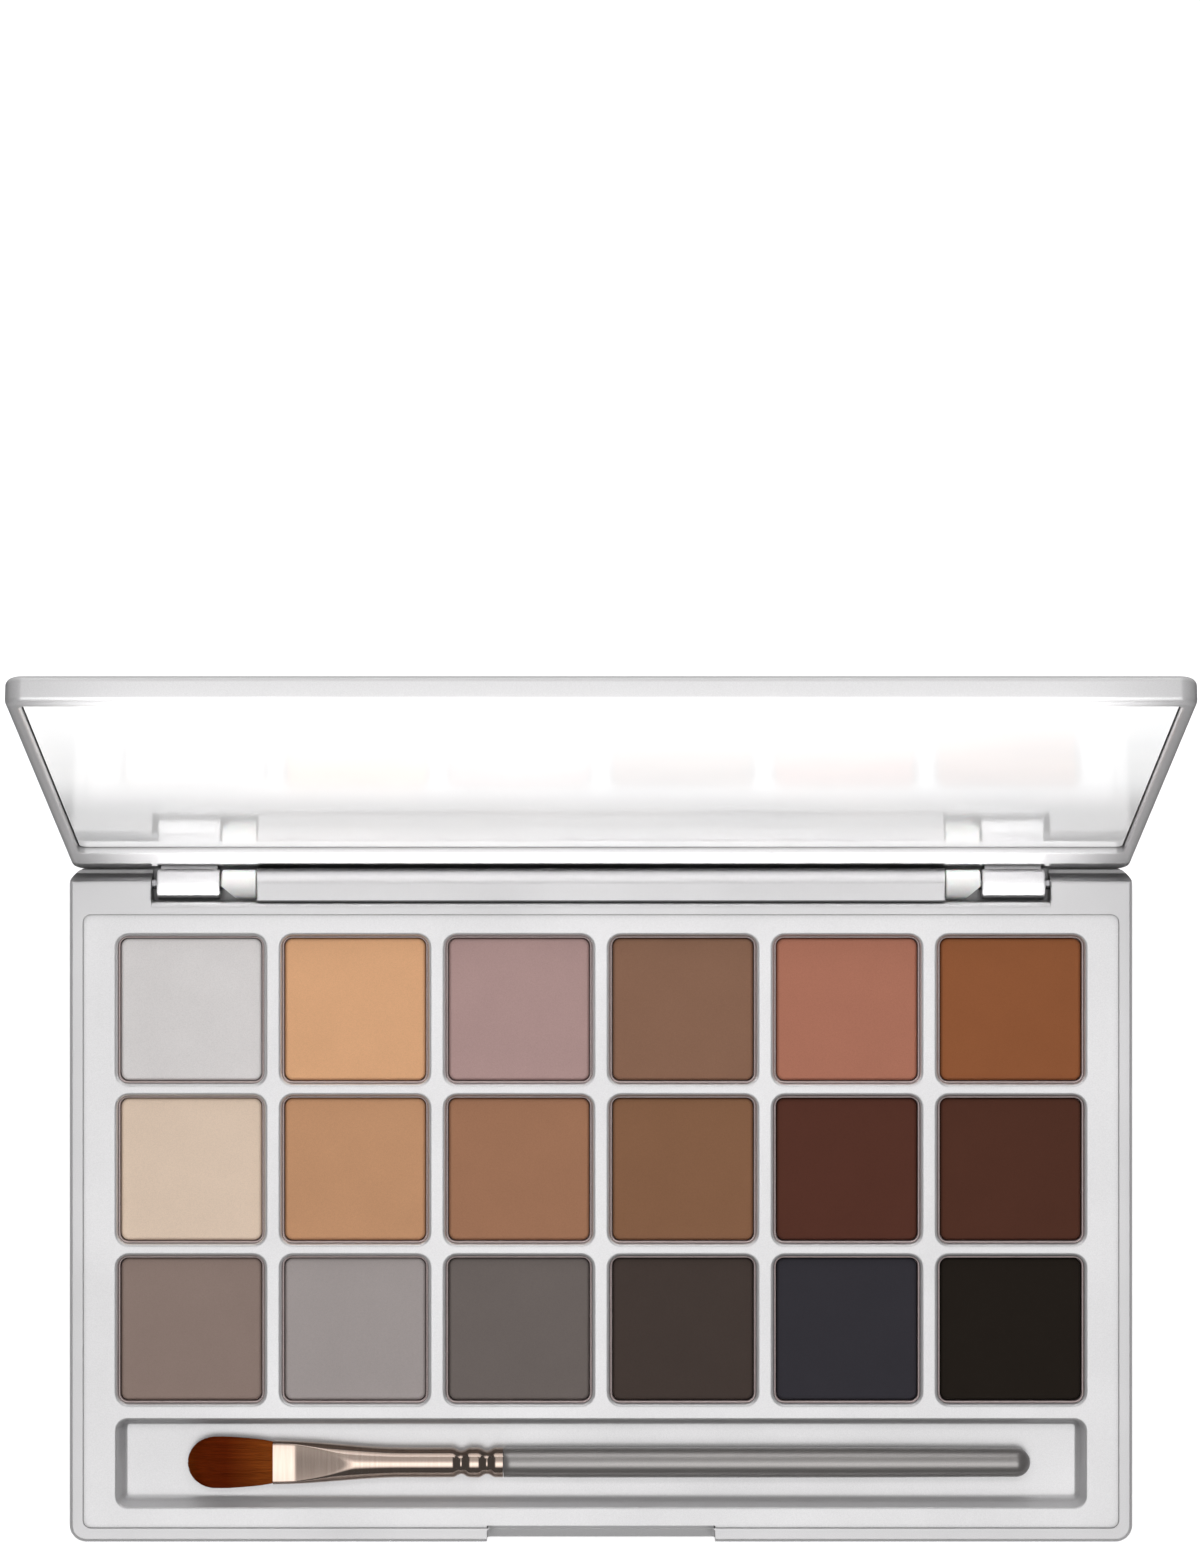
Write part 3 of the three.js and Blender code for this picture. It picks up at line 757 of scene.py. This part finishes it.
def powder(label, material):
    """A pressed cake: a finely uneven top that rolls off at its edge."""
    low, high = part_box(f"powder_{label}")
    radius = WELL_RADIUS - WELL_GAP - PAN_WALL
    outline = (low.x, high.x, low.y, high.y)
    edge = head_round(POWDER_EDGE, high.z, 4)
    cake = slab("powder", outline, radius, [(0, low.z), *edge], corner=6)
    bm = bmesh.new()
    bm.from_mesh(cake.data)
    bpy.data.objects.remove(cake)
    for axis, start, end in ((0, low.x, high.x), (1, low.y, high.y)):
        for step in range(1, POWDER_GRID):
            place = Vector((0, 0, 0))
            place[axis] = mix(start, end, step / POWDER_GRID)
            normal = Vector((0, 0, 0))
            normal[axis] = 1
            flat = [face for face in bm.faces if face.normal.z > 0.9]
            geometry = flat + list({edge for face in flat for edge in face.edges})
            geometry += list({vertex for face in flat for vertex in face.verts})
            bmesh.ops.bisect_plane(bm, geom=geometry, plane_co=place, plane_no=normal)
    for vertex in bm.verts:
        if vertex.co.z > high.z - POWDER_EDGE:
            soft = noise.noise(vertex.co * POWDER_SOFT[0]) * POWDER_SOFT[1]
            fine = noise.noise(vertex.co * POWDER_FINE[0]) * POWDER_FINE[1]
            vertex.co.z += min(soft + fine, 0) - POWDER_SINK
    cake = new_object("powder", bm)
    smooth(cake, 60)
    settle(cake, f"powder_{label}_fine", "base", material, f"powder_{label}")


# ---------------------------------------------------------------- hinge
def hinge_pin(side, sign, material):
    """A pin with chamfered ends."""
    x0, x1 = side_span(sign, PIN_LOW.x, PIN_HIGH.x)
    chamfer = 0.2 * MM
    profile = [
        (x0, PIN_RADIUS - chamfer),
        (x0 + chamfer, PIN_RADIUS),
        (x1 - chamfer, PIN_RADIUS),
        (x1, PIN_RADIUS - chamfer),
    ]
    pin = turned("pin", profile, (AXIS.y, AXIS.z))
    smooth(pin)
    settle(pin, f"hinge_pin_{side}_fine", "base", material, f"hinge_pin_{side}")


def hinge_bush(side, sign, material):
    """A white collar on the pin, cut on the slant towards the lid's knuckle."""
    x0, x1 = side_span(sign, BUSH_LOW.x, BUSH_HIGH.x)
    radius = (BUSH_HIGH.z - BUSH_LOW.z) / 2
    profile = [
        (x0, radius - BUSH_EDGE),
        (x0 + BUSH_EDGE / 2, radius - BUSH_EDGE / 4),
        (x0 + BUSH_EDGE, radius),
        (x1 - BUSH_EDGE, radius),
        (x1 - BUSH_EDGE / 2, radius - BUSH_EDGE / 4),
        (x1, radius - BUSH_EDGE),
    ]
    bush = turned("bush", profile, (AXIS.y, AXIS.z), sides=48)
    knuckle_end = x1 if sign > 0 else x0
    slope = Vector((sign, -BUSH_SLANT, 0)).normalized()
    bm = bmesh.new()
    bm.from_mesh(bush.data)
    bpy.data.objects.remove(bush)
    start = Vector((knuckle_end, AXIS.y - BUSH_CUT, AXIS.z))
    whole = list(bm.verts) + list(bm.edges) + list(bm.faces)
    cut = bmesh.ops.bisect_plane(bm, geom=whole, plane_co=start, plane_no=slope, clear_outer=True)
    rim = [item for item in cut["geom_cut"] if isinstance(item, bmesh.types.BMEdge)]
    bmesh.ops.holes_fill(bm, edges=rim)
    bush = new_object("bush", bm)
    hole = [(x0 - 1 * MM, PIN_HOLE_RADIUS), (x1 + 1 * MM, PIN_HOLE_RADIUS)]
    combine(bush, [turned("hole", hole, (AXIS.y, AXIS.z))], "DIFFERENCE")
    smooth(bush)
    settle(bush, f"hinge_bush_{side}_fine", "base", material, f"hinge_bush_{side}")


# ---------------------------------------------------------------- lid
def tab_cylinder(gap):
    """The finger tab's round outline, standing along Z."""
    radius = TAB_RADIUS + gap
    centre = (0, LID_FRONT + RIM + TAB_HEIGHT - TAB_RADIUS)
    rings = []
    for z in (-FAR / 10, FAR / 10):
        ring = []
        for step in range(96):
            angle = 2 * math.pi * step / 96
            x = centre[0] + radius * math.cos(angle)
            y = centre[1] + radius * math.sin(angle)
            ring.append(Vector((x, y, z)))
        rings.append(ring)
    return loft("tab", rings)


def lid_inside(name, gap, profile):
    """A slab inside the lid's rim, notched for the finger tab."""
    outline = (
        BASE_LOW.x + RIM + gap,
        BASE_HIGH.x - RIM - gap,
        LID_FRONT + RIM + gap,
        -HINGE_FRAME - gap,
    )
    piece = slab(name, outline, CAVITY_RADIUS, profile)
    combine(piece, [tab_cylinder(gap)], "DIFFERENCE")
    return piece


def knuckle(sign):
    """A barrel with a rounded outer end, on a web that joins it to the lid."""
    x0, x1 = side_span(sign, KNUCKLE_INNER, KNUCKLE_OUTER)
    ends = foot_round(KNUCKLE_ROUND, 0)
    profile = [(x0 + along, KNUCKLE_RADIUS - inset) for inset, along in ends]
    profile += [(x1 - along, KNUCKLE_RADIUS - inset) for inset, along in reversed(ends)]
    barrel = turned("knuckle", profile, sides=64)
    inset = 0.5 * MM
    web = box("web", x0 + inset, x1 - inset, -WEB_FRONT, KNUCKLE_RADIUS, 0, MATE_Z + 1 * MM)
    combine(barrel, [web], "UNION")
    return barrel


def lid_shell(material):
    outline = (BASE_LOW.x, BASE_HIGH.x, LID_FRONT, HINGE_RADIUS)
    top = MATE_Z + LID_THICKNESS
    profile = foot_round(LID_ROUND, MATE_Z) + head_round(RIM_ROUND, top)
    shell = slab("lid", outline, CORNER_RADIUS, profile, corner=10)
    lip = 0.25 * MM
    flare = [(-inset, z) for inset, z in foot_round(lip, MATE_Z, 4)]
    cavity = lid_inside("cavity", 0, [(-lip, MATE_Z - 1 * MM), *flare, (0, MATE_Z + LID_CAVITY)])
    combine(shell, [cavity], "DIFFERENCE")
    combine(shell, both_sides(knuckle), "UNION")
    bore = turned("bore", [(-FAR, PIN_HOLE_RADIUS), (FAR, PIN_HOLE_RADIUS)])
    combine(shell, [bore], "DIFFERENCE")
    shell.data.transform(LID_PLACE)
    smooth(shell)
    settle(shell, "lid_shell_fine", "lid", material, "lid_shell")


def mirror(material):
    low = MATE_Z + MIRROR_RECESS
    profile = [*foot_round(0.15 * MM, low, 3), (0, low + MIRROR_THICKNESS)]
    sheet = lid_inside("mirror", 0.15 * MM, profile)
    sheet.data.transform(LID_PLACE)
    smooth(sheet)
    settle(sheet, "mirror_fine", "lid", material, "mirror")


# ---------------------------------------------------------------- brush
BRUSH_Y = (HANDLE_LOW.y + HANDLE_HIGH.y) / 2
BRUSH_Z = (HANDLE_LOW.z + HANDLE_HIGH.z) / 2
FERRULE_START = FERRULE_LOW.x
FERRULE_END = FERRULE_HIGH.x
TUBE_RADIUS = (FERRULE_HIGH.z - FERRULE_LOW.z) / 2
HANDLE_RADIUS = (HANDLE_HIGH.z - HANDLE_LOW.z) / 2
MOUTH_HALF_WIDTH = (FERRULE_HIGH.y - FERRULE_LOW.y) / 2
MOUTH_HALF_HEIGHT = 1.2 * MM
FLAT_CROWN = 0.13  # the flat bulges by this share of its height
MOUTH_LENGTH = 3.3 * MM  # the flat stretch at the mouth
SLOPE_LENGTH = 8.5 * MM  # where the flat rises to the round tube
FLAT_LENGTH = 20 * MM
FERRULE_WALL = 0.3 * MM
CRIMPS = (-21.1 * MM, -17.2 * MM)
CRIMP_HALF_LENGTH = 1.3 * MM
CRIMP_DEPTH = 0.5 * MM
HAIR_HALF_WIDTH = (HAIR_HIGH.y - HAIR_LOW.y) / 2
HAIR_SWELL_LENGTH = 7 * MM  # from the ferrule to the widest place
HAIR_TIP_LENGTH = 5 * MM
HANDLE_SWELL = 12 * MM  # over which the handle grows from neck to full radius
HANDLE_NECK = 14 * MM  # the finely stepped stretch that holds the swell
HANDLE_TAIL = 24 * MM  # full radius up to here from the end
HANDLE_DOME = 0.96  # radius of the domed end, as a share of the handle's
CORE_WIDTH = 0.93  # the solid core's share of the tuft's width
CORE_HEIGHT = 0.86
CORE_SIDES = 40
STRANDS = 2600
STRAND_RADIUS = 0.055 * MM


def crimp_depth(x):
    """How far the ferrule is pressed in at x."""
    depth = 0
    for centre in CRIMPS:
        share = abs(x - centre) / CRIMP_HALF_LENGTH
        if share < 1:
            depth = max(depth, CRIMP_DEPTH * (1 + math.cos(math.pi * share)) / 2)
    return depth


def soft_clip(value, limit):
    """Holds a value under a limit, with a short round between."""
    blend = 0.12 * MM
    share = max(blend - abs(value - limit), 0) / blend
    return min(value, limit) - share * share * blend / 4


def ferrule_ring(x, shrink=0.0, points=96):
    """The ferrule's section at x: a round tube pressed flat towards its mouth."""
    radius = TUBE_RADIUS - crimp_depth(x)
    taper = smoothstep(x, FERRULE_START, FERRULE_START + FLAT_LENGTH)
    spread = mix(MOUTH_HALF_WIDTH / TUBE_RADIUS, 1, taper)
    slope_start = FERRULE_START + MOUTH_LENGTH
    rise = max(x - slope_start, 0) / SLOPE_LENGTH
    height = mix(MOUTH_HALF_HEIGHT, TUBE_RADIUS, rise)
    ring = []
    for step in range(points):
        angle = 2 * math.pi * step / points
        z = radius * abs(math.sin(angle))
        if rise < 1.15:
            z = soft_clip(z, height * (1 - FLAT_CROWN * math.cos(angle) ** 2))
        z = math.copysign(max(z - shrink, 0) if shrink else z, math.sin(angle))
        y = (radius * spread - shrink) * math.cos(angle)
        ring.append(Vector((x, BRUSH_Y + y, BRUSH_Z + z)))
    return ring


def ferrule(material):
    stations = [mix(FERRULE_START, FERRULE_END, step / 150) for step in range(151)]
    outside = [ferrule_ring(x) for x in stations]
    inside_x = [FERRULE_START + 6 * MM * step / 8 for step in range(9)]
    inside = [ferrule_ring(x, FERRULE_WALL) for x in reversed(inside_x)]
    tube = loft("ferrule", inside + outside)
    smooth(tube, 50)
    settle(tube, "brush_ferrule_fine", "brush", material, "brush_ferrule")


def handle(material):
    """A lacquered rod that swells a little behind the ferrule and ends in a dome."""
    neck = TUBE_RADIUS - 0.02 * MM
    start = FERRULE_END + 0.12 * MM
    end = HANDLE_HIGH.x
    profile = [(start, neck - 0.5 * MM), (start, neck - 0.05 * MM), (start + 0.05 * MM, neck)]
    for step in range(1, 13):
        x = mix(start, start + HANDLE_NECK, step / 12)
        profile.append((x, mix(neck, HANDLE_RADIUS, smoothstep(x, start, start + HANDLE_SWELL))))
    profile.append((end - HANDLE_TAIL, HANDLE_RADIUS))
    tail = HANDLE_RADIUS * HANDLE_DOME
    for step in range(0, 15):
        angle = math.pi / 2 * step / 15
        profile.append((end - tail * (1 - math.sin(angle)), max(tail * math.cos(angle), 0.01 * MM)))
    profile.append((end, 0.01 * MM))
    rod = turned("handle", profile, (BRUSH_Y, BRUSH_Z), sides=64)
    smooth(rod, 50)
    settle(rod, "brush_handle_fine", "brush", material, "brush_handle")


def hair_half_width(x):
    """Half the tuft's width, before its tip is rounded."""
    root = MOUTH_HALF_WIDTH - FERRULE_WALL
    swell = min(max((FERRULE_START - x) / HAIR_SWELL_LENGTH, 0), 1)
    return mix(root, HAIR_HALF_WIDTH, math.sqrt(swell))


def hair_half_height(x):
    root = MOUTH_HALF_HEIGHT - FERRULE_WALL
    full = (HAIR_HIGH.z - HAIR_LOW.z) / 2 * 0.98
    near = smoothstep(x, FERRULE_START - 4 * MM, FERRULE_START)
    tip = smoothstep(x, HAIR_LOW.x - 1 * MM, HAIR_LOW.x + 7 * MM)
    return mix(mix(0.25, 1, tip) * full, root, near)


def hair_end(across):
    """Where a hair at a share of the half-width ends, along the filbert tip."""
    share = (1 - min(abs(across), 1) ** 2) ** (1 / 2.4)
    return HAIR_LOW.x + HAIR_TIP_LENGTH * (1 - share)


def strand(bm, across, height, stray):
    """One tapered hair, from inside the ferrule to the tuft's outline."""
    start = FERRULE_START + 2 * MM
    end = hair_end(across) + stray
    previous = None
    stations = 9
    for step in range(stations + 1):
        t = step / stations
        x = mix(start, end, t)
        y = BRUSH_Y + across * hair_half_width(x)
        z = BRUSH_Z + height * hair_half_height(x)
        radius = STRAND_RADIUS * (1 - 0.6 * t**3)
        ring = []
        for side in range(3):
            angle = 2 * math.pi * side / 3 + across * 40
            offset = Vector((0, math.cos(angle), math.sin(angle))) * radius
            ring.append(bm.verts.new(Vector((x, y, z)) + offset))
        if previous:
            for side in range(3):
                other = (side + 1) % 3
                bm.faces.new((previous[side], previous[other], ring[other], ring[side]))
        else:
            bm.faces.new(ring)
        previous = ring
    bm.faces.new(list(reversed(previous)))


def hair(material):
    """Single hairs round a solid core."""
    picker = random.Random(7)
    bm = bmesh.new()
    for _ in range(STRANDS):
        angle = picker.uniform(0, 2 * math.pi)
        reach = picker.uniform(0.55, 1) ** 0.5
        across = 0.985 * reach * math.cos(angle)
        strand(bm, across, 0.96 * reach * math.sin(angle), picker.uniform(0, 0.25) * MM)
    tuft = new_object("hair", bm)
    rings = []
    for step in range(25):
        x = mix(FERRULE_START + 2 * MM, HAIR_LOW.x + 0.5 * MM, step / 24)
        share = max((HAIR_LOW.x + HAIR_TIP_LENGTH - x) / HAIR_TIP_LENGTH, 0)
        width = CORE_WIDTH * hair_half_width(x) * math.sqrt(1 - share**2.4)
        depth = CORE_HEIGHT * hair_half_height(x)
        ring = []
        for point in range(CORE_SIDES):
            angle = 2 * math.pi * point / CORE_SIDES
            ring.append(
                Vector((x, BRUSH_Y + width * math.cos(angle), BRUSH_Z + depth * math.sin(angle)))
            )
        rings.append(ring)
    core = loft("core", rings)
    both = join_meshes([core, tuft])
    both.data.shade_smooth()
    settle(both, "brush_hair_fine", "brush", material, "brush_hair")


# ---------------------------------------------------------------- stage
SKY = 2.28  # brightness of the strip overhead
AROUND = 0.1  # brightness of the rest of the sky
STRIP_SIDE = (0.33, 0.1)  # where the strip ends and is full, as parts of a unit direction
# Levels along the strip, each after the Y part of its direction.
STRIP = (
    (-0.6, 0),
    (-0.35, 0.85),
    (-0.15, 1),
    (0, 0.95),
    (0.15, 0.52),
    (0.35, 0.28),
    (0.9, 0.25),
    (1, 0.2),
)
# Place, target, size and power of each area light.
KEY = ((0, 0.36, 1.1), (0, 0, 0), (0.9, 0.2), 4.8)
FRONT = ((0, -0.3, 0.2), (0, 0.05, 0.03), (0.146, 0.2), 0.32)
FRONT_SPREAD = math.radians(5)
MIRROR_FRONT = ((0, -0.08, 0.24), (0, 0.06, 0.08), (0.3, 0.12), 1.05)
BEHIND = ((0, 1.1, 0.4), (0, 0.05, 0.05), (0.6, 0.5), 14)
# Low lights round the case: their height, and a shared target, size and power.
LOW_HEIGHT = 0.03
LOW = ((0, 0, 0.008), (0.5, 0.05), 7)
LOW_SIDES = (("front", 0, -1), ("rear", 0, 1), ("left", -1, 0), ("right", 1, 0))
LID_PIECES = ("lid_shell_fine", "mirror_fine", frame["nodes"]["mirror_tape"].name)
LENS = 129.57
CAMERA_PLACE = (-0.15 * MM, AXIS.y + 17.1 * MM, BASE_HIGH.z + 835 * MM)  # it looks straight down
FLOOR_DROP = 0.02 * MM  # keeps the floor clear of the case's underside


def camera():
    data = bpy.data.cameras.new("camera")
    data.lens = LENS
    data.sensor_width = 36
    data.clip_end = 10
    made = bpy.data.objects.new("camera", data)
    bpy.context.scene.collection.objects.link(made)
    made.location = CAMERA_PLACE
    bpy.context.scene.camera = made


def floor():
    """A pale floor that glows a little and is left out of reflections and bounced light."""
    nodes = Nodes("floor_white")
    grain = nodes.noise(400)
    nodes.set(
        Base_Color=nodes.tones(grain, [(0.3, (0.93, 0.93, 0.93, 1)), (0.7, (0.95, 0.95, 0.95, 1))]),
        Roughness=0.9,
        Specular_IOR_Level=0.1,
        Emission_Color=(1, 1, 1, 1),
        Emission_Strength=0.7,
    )
    bm = bmesh.new()
    bmesh.ops.create_grid(bm, x_segments=2, y_segments=2, size=3)
    plane = new_object("floor", bm)
    if plane.data.polygons[0].normal.z < 0:
        plane.data.flip_normals()
    plane.data.materials.append(nodes.material)
    plane.location.z = -FLOOR_DROP
    plane.visible_glossy = False
    plane.visible_diffuse = False


def area_light(name, place, target, size, power):
    """A rectangular light that faces its target."""
    data = bpy.data.lights.new(name, "AREA")
    data.shape = "RECTANGLE"
    data.size, data.size_y = size
    data.energy = power
    made = bpy.data.objects.new(name, data)
    bpy.context.scene.collection.objects.link(made)
    made.location = place
    made.rotation_euler = (Vector(target) - Vector(place)).to_track_quat("-Z", "Y").to_euler()
    return made


def sky():
    """A strip light that arches from the front over the top to the back, with dim sides."""
    world = bpy.data.worlds.new("studio")
    bpy.context.scene.world = world
    world.use_nodes = True
    tree = world.node_tree

    def node(kind, source, settings=None, **inputs):
        made = tree.nodes.new(kind)
        for key, value in (settings or {}).items():
            setattr(made, key, value)
        for key, value in inputs.items():
            made.inputs[key.replace("_", " ")].default_value = value
        tree.links.new(source, made.inputs[0])
        return made

    place = tree.nodes.new("ShaderNodeTexCoord")
    axes = node("ShaderNodeSeparateXYZ", place.outputs["Generated"])
    aside = node("ShaderNodeMath", axes.outputs["X"], {"operation": "ABSOLUTE"})
    start, end = STRIP_SIDE
    width = node("ShaderNodeMapRange", aside.outputs[0], From_Min=start, From_Max=end)
    along = node("ShaderNodeMapRange", axes.outputs["Y"], From_Min=-1, From_Max=1)
    profile = node("ShaderNodeValToRGB", along.outputs["Result"])
    ramp = profile.color_ramp
    while len(ramp.elements) < len(STRIP):
        ramp.elements.new(0.5)
    for element, (y, level) in zip(ramp.elements, STRIP):
        element.position = (y + 1) / 2
        element.color = (level, level, level, 1)
    lit = node("ShaderNodeMath", width.outputs["Result"], {"operation": "MULTIPLY"})
    tree.links.new(profile.outputs["Color"], lit.inputs[1])
    above = node("ShaderNodeMath", axes.outputs["Z"], {"operation": "GREATER_THAN"})
    above.inputs[1].default_value = 0
    top = node("ShaderNodeMath", lit.outputs[0], {"operation": "MULTIPLY"})
    tree.links.new(above.outputs[0], top.inputs[1])
    strength = node("ShaderNodeMapRange", top.outputs[0], To_Min=AROUND, To_Max=SKY)
    tree.links.new(strength.outputs["Result"], tree.nodes["Background"].inputs["Strength"])
    tree.nodes["Background"].inputs["Color"].default_value = (1, 1, 1, 1)


def only_for(light, names):
    """Lets a light reach only the named pieces."""
    group = bpy.data.collections.new(light.name)
    for name in names:
        group.objects.link(bpy.data.objects[name])
    light.light_linking.receiver_collection = group


def passes(light, names):
    """Lets a light pass through the named pieces without a shadow."""
    group = bpy.data.collections.new(light.name + "_clear")
    for name in names:
        group.objects.link(bpy.data.objects[name])
    for member in group.collection_objects:
        member.light_linking.link_state = "EXCLUDE"
    light.light_linking.blocker_collection = group


def studio():
    """Light shaped for the main view: most lights reach only the pieces named with them."""
    bpy.context.scene.view_settings.view_transform = "Standard"
    sky()
    key = area_light("key", *KEY)
    passes(key, LID_PIECES)
    left_out = ("base_shell_fine", *LID_PIECES)
    meshes = [piece.name for piece in bpy.data.objects if piece.type == "MESH"]
    only_for(key, [name for name in meshes if name not in left_out])
    front = area_light("front", *FRONT)
    front.data.spread = FRONT_SPREAD
    only_for(front, ("lid_shell_fine",))
    mirror_front = area_light("mirror_front", *MIRROR_FRONT)
    only_for(mirror_front, ("mirror_fine",))
    behind = area_light("behind", *BEHIND)
    only_for(behind, ("lid_shell_fine",))
    lights = [key, front, mirror_front, behind]
    for side, x, y in LOW_SIDES:
        low = area_light("low_" + side, (x, y, LOW_HEIGHT), *LOW)
        only_for(low, ("base_shell_fine",))
        lights.append(low)
    for light in lights:
        light.visible_glossy = False


# ---------------------------------------------------------------- making
# Display colours of the powders, 0 to 255, one row of pans to a line. They weren't picked by
# hand: a measuring script worked them out for this light.
POWDER_COLOURS = (
    ((236, 232, 231), (236, 182, 138), (187, 156, 152), (147, 110, 89), (186, 124, 102), (157, 97, 62)),
    ((246, 222, 200), (213, 161, 122), (175, 127, 98), (147, 106, 79), (95, 57, 46), (91, 56, 44)),
    ((159, 139, 130), (181, 172, 170), (122, 113, 109), (78, 67, 62), (60, 58, 64), (41, 35, 30)),
)

camera()
tin = tinplate()
# The last two numbers of each silver material set the reach and depth of its painted corner shade.
base_shell(silver_plastic("silver_case", 2.6 * MM, 0.28))
insert_tray(silver_plastic("silver_insert", 1.4 * MM, 0.5))
for row, column, label in each_well():
    pan(label, tin)
    powder(label, pressed_powder(f"powder_{label}", POWDER_COLOURS[row][column]))
steel = ground_steel()
acetal = white_acetal()
for side, sign in (("left", -1), ("right", 1)):
    hinge_pin(side, sign, steel)
    hinge_bush(side, sign, acetal)
lid_shell(silver_plastic("silver_lid", 0.8 * MM, 0.28))
mirror(mirror_surface())
tape = frame["nodes"]["mirror_tape"]
tape.data.materials.clear()
tape.data.materials.append(foam_tape())
hair(hair_fibre())
ferrule(champagne_metal())
handle(silver_lacquer())
floor()
studio()
